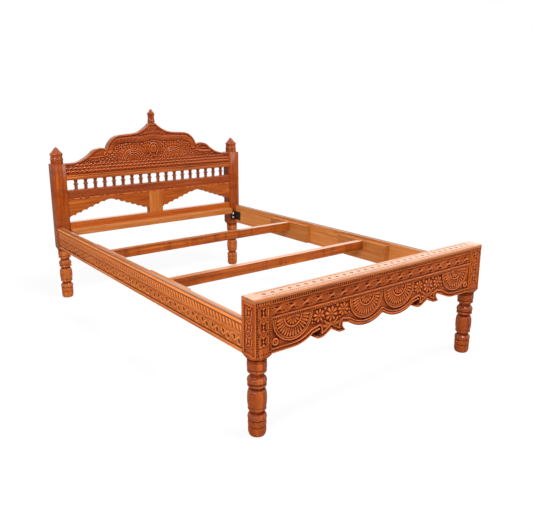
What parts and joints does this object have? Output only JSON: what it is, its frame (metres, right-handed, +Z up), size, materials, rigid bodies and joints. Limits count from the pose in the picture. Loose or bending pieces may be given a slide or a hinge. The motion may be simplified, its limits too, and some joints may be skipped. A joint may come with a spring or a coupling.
{
  "type": "carved wooden bed",
  "caption": "Carved teak bed on turned legs, with a spindle gallery and peaked crest at the head, a lotus-carved footboard, bolted side rails and drop-in bearers",
  "frame": {"origin": "on the floor under the middle of the bed, at the centre of its overall footprint", "axes": "+X to the right and +Y towards the headboard, seen from the foot of the bed; +Z up"},
  "size_m": [1.285, 2.01, 1.103],
  "materials": {
    "teak": "glossy lacquer over a warm orange-brown stain",
    "teak_carved": "glossy lacquer, darker in the hollows of the carving",
    "teak_inner": "thin satin lacquer on plain sawn faces",
    "dark_wood": "dark lacquered end grain",
    "dark_steel": "dark varnished steel",
    "bright_steel": "zinc plated"
  },
  "bodies": {
    "bed_frame": {"head_post_left": "teak", "head_post_right": "teak", "foot_post_left": "teak", "foot_post_right": "teak", "head_finial_left": "teak", "head_finial_right": "teak", "crest_finial": "teak", "crest_board": "teak_carved", "gallery_top_rail": "teak", "gallery_bottom_rail": "teak_carved", "spindle_01": "teak", "spindle_02": "teak", "spindle_03": "teak", "spindle_04": "teak", "spindle_05": "teak", "spindle_06": "teak", "spindle_07": "teak", "spindle_08": "teak", "spindle_09": "teak", "spindle_10": "teak", "spindle_11": "teak", "spindle_12": "teak", "spindle_13": "teak", "spindle_14": "teak", "spindle_15": "teak", "spindle_16": "teak", "spindle_17": "teak", "spindle_18": "teak", "head_apron_left": "teak", "head_apron_right": "teak", "head_muntin": "teak", "head_lower_rail": "teak", "foot_cap": "teak_carved", "foot_rail": "teak_carved", "foot_apron": "teak_carved", "side_rail_left": "teak", "side_rail_right": "teak", "hanger_block_front_left": "teak_inner", "hanger_block_front_right": "teak_inner", "hanger_block_rear_left": "teak_inner", "hanger_block_rear_right": "teak_inner", "head_ledger": "teak_inner", "foot_ledger": "teak_inner", "head_bracket_left": "dark_steel", "head_bracket_right": "dark_steel", "foot_bracket_left": "dark_steel", "foot_bracket_right": "dark_steel", "bracket_bolts": "bright_steel", "bracket_screws": "bright_steel", "block_screws": "bright_steel", "ledger_screws": "bright_steel", "tenon_pegs": "dark_wood"},
    "bearer_front": {"bearer_front": "teak_inner"},
    "bearer_rear": {"bearer_rear": "teak_inner"}
  },
  "joints": [
    {"name": "bearer_front_lift", "type": "slide", "parent": "bed_frame", "child": "bearer_front", "axis": [0, 0, 1], "range_m": [0, 0.06]},
    {"name": "bearer_rear_lift", "type": "slide", "parent": "bed_frame", "child": "bearer_rear", "axis": [0, 0, 1], "range_m": [0, 0.06]}
  ]
}
